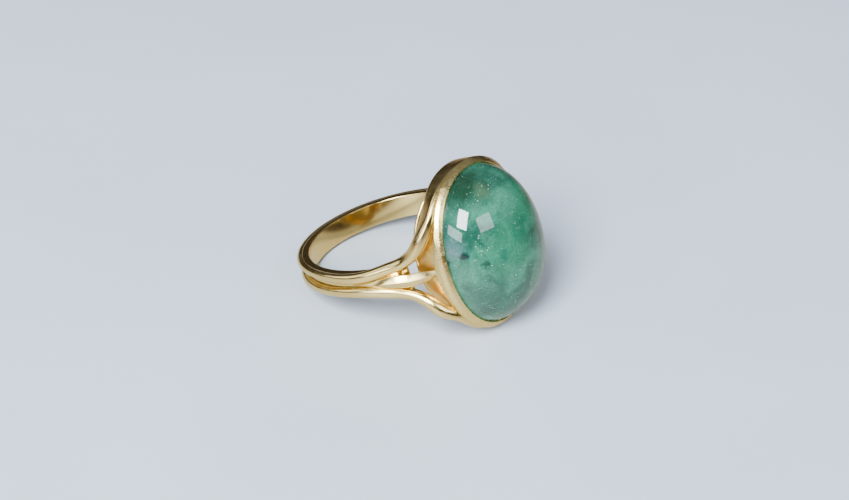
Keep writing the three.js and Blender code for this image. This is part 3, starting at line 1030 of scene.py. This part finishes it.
def sweep_line(
    name: str,
    line: np.ndarray,
    across: np.ndarray,
    outward: np.ndarray,
    half_width: np.ndarray,
    half_depth: np.ndarray,
    squareness: np.ndarray,
) -> bpy.types.Mesh:
    """A line of loose points that carries what the sweep tree needs.

    Args:
        name: the mesh's name.
        line: the points.
        across: the section's sideways direction at each point.
        outward: the section's other direction.
        half_width: half the section's size sideways.
        half_depth: half its size outwards.
        squareness: 0 for an oval section, 1 for a squarish one.

    Returns:
        The mesh, in the ring's millimetres.
    """
    mesh = bpy.data.meshes.new(name)
    mesh.from_pydata(line.tolist(), [], [])
    fields = dict(zip(SWEEP_FIELDS, (across, outward, half_width, half_depth, squareness)))
    for field_name, values in fields.items():
        vector = np.ndim(values) == 2
        attribute = mesh.attributes.new(field_name, "FLOAT_VECTOR" if vector else "FLOAT", "POINT")
        attribute.data.foreach_set("vector" if vector else "value", np.asarray(values, np.float32).ravel())
    return mesh


@dataclass(frozen=True)
class Station:
    """A place along a wire with its section's half sizes."""

    point: np.ndarray
    half_width: float
    half_depth: float
    squareness: float

    def moved(self, point: np.ndarray) -> "Station":
        """The same section at another point."""
        return replace(self, point=point)


@dataclass
class Shank:
    """The band, the two wires that become the shoulders' arms, and the leaves."""

    sizes: Sizes
    band_half_width: float = 1.15
    shoulder_half_width: float = 1.4
    neck_half_width: float = 1.12
    neck_rise: float = 1.75
    neck_half_depth: float = 0.62
    neck_edge: float = 1.2
    arm_edge: float = 1.9
    wire_back_height: float = 0.65
    wire_half_width: float = 0.37
    wire_half_depth: float = 0.42
    arm_half_width: float = 0.58
    arm_half_depth: float = 0.72
    end_half_width: float = 0.2
    leaf_tip_angle: float = 79.0
    leaf_half_width: float = 0.66
    leaf_root_half_width: float = 0.34
    leaf_edge: float = 0.3
    leaf_thickness: float = 0.75
    leaf_tip_rise: float = 0.12
    leaf_drop: float = 0.1
    pit_radius: float = 0.17
    pit_angle: float = 49.5
    pit_offset: float = 0.46
    wire_steps: int = 420
    wire_corners: int = 36
    band_steps: int = 240
    leaf_steps: int = 90
    filing_reach: int = 3
    filing_passes: int = 6

    def head_stations(self) -> list[Station]:
        """Where a wire runs under the bezel's end, from the middle of the end outwards."""
        sizes = self.sizes
        stations = []
        rows = ((0, 0, 0), (20, 0, 0), (34, 0.04, 0.08), (45, 0.12, 0.2), (54, 0.26, 0.32))
        for angle, flare, extra in rows:
            width = self.end_half_width + extra
            offset = sizes.ridge_offset - width + flare
            point = sizes.oval(math.radians(angle), offset, sizes.end_wire)
            stations.append(Station(point, width, sizes.end_half_depth, 1))
        return stations

    def arm_stations(self) -> list[Station]:
        """Where a wire comes down the shoulder as an arm."""
        sizes = self.sizes
        stations = []
        for beyond, share, below, extra in (
            (0.08, 0.515, 0.48, 0.14),
            (0.46, 0.415, 0.96, 0.16),
            (0.68, 0.305, 1.78, 0.06),
            (0.9, 0.228, 2.8, 0),
            (1.23, 0.18, 3.7, 0),
        ):
            point = np.array((
                sizes.stone_half_width + beyond,
                share * sizes.stone_half_length,
                sizes.end_wire - below,
            ))
            stations.append(Station(point, self.arm_half_width + extra, self.arm_half_depth, 0))
        return stations

    def band_stations(self) -> list[Station]:
        """Where a wire follows the band's edge round the finger."""
        sizes = self.sizes
        neck = sizes.neck_angle
        back_rise = sizes.band_thickness + self.wire_back_height
        stations = []
        steps = 10
        for i in range(steps + 1):
            angle = lerp(neck, 180, (i / steps) ** 1.1)
            width = through(((neck, self.arm_half_width), (110, self.wire_half_width)), angle)
            depth = through(((neck, self.neck_half_depth), (95, self.wire_half_depth)), angle)
            edges = ((50, self.arm_edge), (76, self.neck_edge), (150, self.band_half_width))
            edge = through(edges, angle)
            rise = through(((neck, self.neck_rise), (120, back_rise)), angle)
            point = sizes.on_finger(angle, sizes.bore_radius + rise - depth, edge - width)
            stations.append(Station(point, width, depth, 0.4))
        return stations

    def wire_line(self, end: int) -> bpy.types.Mesh:
        """The line of one wire, a closed loop round the finger and under the bezel's end.

        Args:
            end: 1 for the wire on the +Y side, -1 for the other.

        Returns:
            The line, with its section's size and directions.
        """
        lean = self.sizes.lean
        flip = np.array((1, end, 1))
        half = [s.moved(s.point * flip) for s in self.head_stations()]
        half += [s.moved(lean(s.point * flip)) for s in self.arm_stations() + self.band_stations()]
        stations = half + [s.moved(s.point * (-1, 1, 1)) for s in reversed(half[1:-1])]
        points = np.array([station.point for station in stations])
        rows = []
        for i in range(self.wire_steps):
            share = i / self.wire_steps
            centre, heading = closed_spline(points, share)
            outward = np.array((centre[0], 0, centre[2]))
            across = np.cross(heading, outward / np.linalg.norm(outward))
            across /= np.linalg.norm(across)
            outward = np.cross(across, heading)
            place = share * len(stations)
            low = int(place) % len(stations)
            near, ahead = stations[low], stations[(low + 1) % len(stations)]
            blend = smoothstep(place - int(place), 0, 1)
            rows.append((
                centre,
                across,
                outward,
                lerp(near.half_width, ahead.half_width, blend),
                lerp(near.half_depth, ahead.half_depth, blend),
                lerp(near.squareness, ahead.squareness, blend),
            ))
        line, across, outward, width, depth, square = (self.filed(np.array(column)) for column in zip(*rows))
        return sweep_line("wire_line", line, across, outward, width, depth, square)

    def filed(self, values: np.ndarray) -> np.ndarray:
        """Values along a wire with their small bumps filed away, by averaging over a short stretch."""
        for _ in range(self.filing_passes):
            behind = np.roll(values, self.filing_reach, 0)
            ahead = np.roll(values, -self.filing_reach, 0)
            values = (behind + 2 * values + ahead) / 4
        return values

    def band_mesh(self) -> bpy.types.Object:
        """The band between the wires, with the small pits drilled where it ends."""
        sizes = self.sizes
        loops = []
        for i in range(self.band_steps + 1):
            angle = lerp(sizes.band_end_angle, 360 - sizes.band_end_angle, i / self.band_steps)
            from_head = min(angle, 360 - angle)
            half = through(
                ((46, self.shoulder_half_width), (62, self.neck_half_width), (120, self.band_half_width)),
                from_head,
            )
            top = sizes.band_top(from_head)
            outline = rounded([
                (sizes.bore_radius, -half, 0.1),
                (sizes.bore_radius, half, 0.1),
                (top, half, 0.1),
                (top, -half, 0.1),
            ])
            loops.append([sizes.on_shank(angle, radius, along) for radius, along in outline])
        band = new_piece("shank_band_fine", lofted("shank_band_fine", np.array(loops), False))
        drills = [self.drill(side, end) for side in (-1, 1) for end in (-1, 1)]
        for bit in drills:
            cut = band.modifiers.new("Pit", "BOOLEAN")
            cut.operation = "DIFFERENCE"
            cut.solver = "EXACT"
            cut.object = bit
        graph = bpy.context.evaluated_depsgraph_get()
        mesh = bpy.data.meshes.new_from_object(band.evaluated_get(graph), depsgraph=graph)
        for spent in [band, *drills]:
            bpy.data.objects.remove(spent)
        mesh.name = "shank_band_fine"
        return new_piece("shank_band_fine", mesh)

    def drill(self, side: int, end: int) -> bpy.types.Object:
        """The tool for one pit, a small cylinder that points at the finger."""
        sizes = self.sizes
        count = 24
        loops = []
        across = sizes.on_finger(side * self.pit_angle + 90, 1, 0)
        for radius in (sizes.bore_radius - 0.5, sizes.bore_radius + 2.5):
            middle = sizes.on_shank(side * self.pit_angle, radius, end * self.pit_offset)
            loops.append([
                middle
                + across * self.pit_radius * math.cos(turn)
                + np.array((0, self.pit_radius * math.sin(turn), 0))
                for turn in (k / count * FULL_TURN for k in range(count))
            ])
        return new_piece("pit_drill", lofted("pit_drill", np.array(loops), False))

    def leaf_mesh(self, side: int) -> bpy.types.Object:
        """A knife-edged leaf from the bezel's point to a fine tip on the band.

        Args:
            side: 1 for the shoulder on the +X side, -1 for the other.

        Returns:
            The leaf, sunk a little into what it is soldered to.
        """
        sizes = self.sizes
        tip = sizes.on_shank(self.leaf_tip_angle, sizes.band_top(self.leaf_tip_angle) + self.leaf_tip_rise, 0)
        root = sizes.oval(math.pi / 2, sizes.ridge_offset - 0.12, sizes.skirt_tip + 0.1)
        spine = np.array((
            tip,
            sizes.on_shank(66, sizes.bore_radius + 1.65, 0),
            sizes.on_shank(sizes.neck_angle - 1, sizes.bore_radius + 2.1, 0),
            sizes.on_shank(sizes.band_end_angle + 1, sizes.bore_radius + 2.5, -self.leaf_drop),
            root,
        ))
        loops = []
        for i in range(self.leaf_steps + 1):
            share = i / self.leaf_steps
            ridge, heading = open_spline(spine, share)
            angle = math.degrees(math.atan2(ridge[0], ridge[2]))
            inward = np.array((-heading[2], 0, heading[0]))
            inward /= np.linalg.norm(inward)
            swell = math.sin(math.pi / 2 * min(1.0, share / 0.7)) ** 0.9
            full = lerp(self.leaf_half_width * swell, self.leaf_root_half_width, smoothstep(share, 0.78, 1))
            half = max(0.03, full)
            over_band = math.hypot(ridge[0], ridge[2]) - sizes.band_top(angle) + 0.05
            depth = over_band if angle > sizes.band_end_angle + 4 else min(over_band, self.leaf_thickness)
            edge = min(self.leaf_edge, depth * 0.6)
            outline = rounded([
                (0.0, 0.0, 0.06),
                (half, edge, 0.05),
                (half * 0.8, depth, 0.08),
                (-half * 0.8, depth, 0.08),
                (-half, edge, 0.05),
            ])
            loops.append([
                (ridge + inward * down + np.array((0, along, 0))) * (side, 1, 1) for along, down in outline
            ])
        name = "shoulder_leaf_right" if side > 0 else "shoulder_leaf_left"
        return new_piece(name, lofted(name, np.array(loops), False))

    def build(self, sweep: bpy.types.NodeTree, finishes: dict[Gold, bpy.types.Material]) -> None:
        """Builds and dresses the band, the wires and the leaves."""
        polished = finishes[Gold.POLISHED]
        dress(self.band_mesh(), finishes[Gold.INNER], "gold", "shank_band")
        for end, name in ((1, "upper"), (-1, "lower")):
            wire = grown(f"{name}_wire_fine", sweep, self.wire_line(end), {
                "Corners": self.wire_corners,
                "Stations": self.wire_steps,
                "Material": polished,
            })
            dress(wire, polished, "gold", f"{name}_shank_wire")
        for side, name in ((1, "right"), (-1, "left")):
            dress(self.leaf_mesh(side), polished, "gold", f"{name}_shoulder_leaf")


# ---- The studio ----


@dataclass(frozen=True)
class Softbox:
    """A rectangular studio light that faces the ring."""

    name: str
    azimuth: float
    elevation: float
    distance: float
    width: float
    height: float
    power: float
    colour: Triple = (1, 1, 1)

    def build(self, target: Vector) -> None:
        """Puts the light in the studio."""
        light = bpy.data.lights.new(self.name, "AREA")
        light.shape = "RECTANGLE"
        light.size = self.width
        light.size_y = self.height
        light.energy = self.power
        light.color = self.colour
        holder = bpy.data.objects.new(self.name, light)
        bpy.context.scene.collection.objects.link(holder)
        away = direction(self.azimuth, self.elevation)
        holder.location = target + away * self.distance
        holder.rotation_euler = away.to_track_quat("Z", "Y").to_euler()


def direction(azimuth: float, elevation: float) -> Vector:
    """The unit vector towards a place seen round the ring, 0 azimuth being in front of it (-Y)."""
    a, e = math.radians(azimuth), math.radians(elevation)
    return Vector((math.sin(a) * math.cos(e), -math.cos(a) * math.cos(e), math.sin(e)))


@dataclass
class Studio:
    """The camera, the lights, the surroundings and the floor."""

    camera_azimuth: float = -54.5
    camera_elevation: float = 34.14
    camera_roll: float = 0.89
    camera_distance: float = 0.3
    focal_length: float = 129.04
    shift: tuple[float, float] = (0.0334, -0.0111)
    floor_size: float = 1.6
    floor_colour: Triple = (0.56, 0.63, 0.74)
    # Painted reflection colours that glossy rays see on the floor instead of its pale colour, near the ring
    # and further out.
    painted_reflection_near: Triple = (0.42, 0.4, 0.36)
    painted_reflection_far: Triple = (0.17, 0.12, 0.09)
    lights: tuple[Softbox, ...] = (
        Softbox("window_tall", -75, 45, 0.6, 0.22, 0.3, 11.0, (0.88, 0.95, 1.0)),
        Softbox("window_low", -90, 20, 0.6, 0.34, 0.14, 1.6, (0.88, 0.95, 1.0)),
        Softbox("window_pale", -15, 40, 0.7, 0.36, 0.24, 2.0, (0.88, 0.95, 1.0)),
        Softbox("window_back", -150, 30, 0.8, 0.6, 0.4, 1.6, (0.95, 0.98, 1.0)),
    )

    def build(self) -> None:
        """Sets up everything that isn't the ring."""
        self.place_camera()
        for light in self.lights:
            light.build(RING.centre)
        self.surround()
        self.lay_floor()

    def place_camera(self) -> None:
        """The camera that looks down on the ring from its left."""
        back = direction(self.camera_azimuth, self.camera_elevation)
        turn = math.radians(self.camera_azimuth)
        level = Vector((math.cos(turn), math.sin(turn), 0))
        up = back.cross(level)
        roll = math.radians(self.camera_roll)
        right = level * math.cos(roll) + up * math.sin(roll)
        top = up * math.cos(roll) - level * math.sin(roll)
        data = bpy.data.cameras.new("camera")
        data.sensor_width = 36
        data.lens = self.focal_length
        data.clip_start = 0.01
        data.shift_x, data.shift_y = self.shift
        camera = bpy.data.objects.new("camera", data)
        bpy.context.scene.collection.objects.link(camera)
        pose = Matrix((right, top, back)).transposed().to_4x4()
        pose.translation = RING.centre + back * self.camera_distance
        camera.matrix_world = pose
        bpy.context.scene.camera = camera

    def surround(self) -> None:
        """A soft grey room: light above, and darker and warmer towards the ground."""
        world = bpy.data.worlds.new("studio")
        world.use_nodes = True
        bpy.context.scene.world = world
        work = Work(world.node_tree)
        heading = work.node("ShaderNodeTexCoord").outputs["Generated"]
        split = work.node("ShaderNodeSeparateXYZ")
        work.feed(split.inputs[0], heading)
        height = work.between(split.outputs["Z"], 0.0, 0.9)
        colour = work.mix(height, (0.1, 0.075, 0.055, 1), (0.8, 0.85, 0.93, 1))
        backdrop = world.node_tree.nodes["Background"]
        work.feed(backdrop.inputs["Color"], colour)
        backdrop.inputs["Strength"].default_value = 0.32

    def lay_floor(self) -> None:
        """The plain pale floor, which glossy rays see in painted reflection colours: greyer near the ring and
        dark brown further out.
        """
        half = self.floor_size / 2
        mesh = bpy.data.meshes.new("floor")
        corners = [(-half, -half, 0), (half, -half, 0), (half, half, 0), (-half, half, 0)]
        mesh.from_pydata(corners, [], [(0, 1, 2, 3)])
        floor = bpy.data.objects.new("floor", mesh)
        bpy.context.scene.collection.objects.link(floor)
        material = bpy.data.materials.new("pale_floor")
        material.use_nodes = True
        work = Work(material.node_tree)
        shader = material.node_tree.nodes["Principled BSDF"]
        shader.inputs["Roughness"].default_value = 0.5
        spot = work.node("ShaderNodeTexCoord").outputs["Object"]
        mottle = work.between(work.noise(spot, 30.0, 3.0), 0.3, 0.7)
        darker = tuple(value * 0.94 for value in self.floor_colour)
        pale = work.mix(mottle, (*darker, 1), (*self.floor_colour, 1))
        away = work.node("ShaderNodeVectorMath", operation="LENGTH")
        work.feed(away.inputs[0], spot)
        far = work.between(away.outputs["Value"], 0.025, 0.075)
        seen = work.mix(far, (*self.painted_reflection_near, 1), (*self.painted_reflection_far, 1))
        # Painted reflection: glossy rays see the greyer and dark brown colours, which paint dark reflections
        # into the gold.
        mirrored = work.node("ShaderNodeLightPath").outputs["Is Glossy Ray"]
        work.feed(shader.inputs["Base Color"], work.mix(mirrored, pale, seen))
        mesh.materials.append(material)


# ---- Assembly ----


def main() -> None:
    """Builds the studio and the ring in order."""
    logging.basicConfig(level=logging.INFO, format="%(message)s")
    Studio().build()
    sizes = Sizes()
    marks = handling_marks()
    finishes = {gold: gold.value.material("gold_" + gold.name.lower(), marks) for gold in Gold}
    sweep = sweep_tree()
    Shank(sizes).build(sweep, finishes)
    Head(sizes).build(sweep, finishes)
    Cabochon(sizes).build(StoneFinish())


if __name__ == "__main__":
    main()
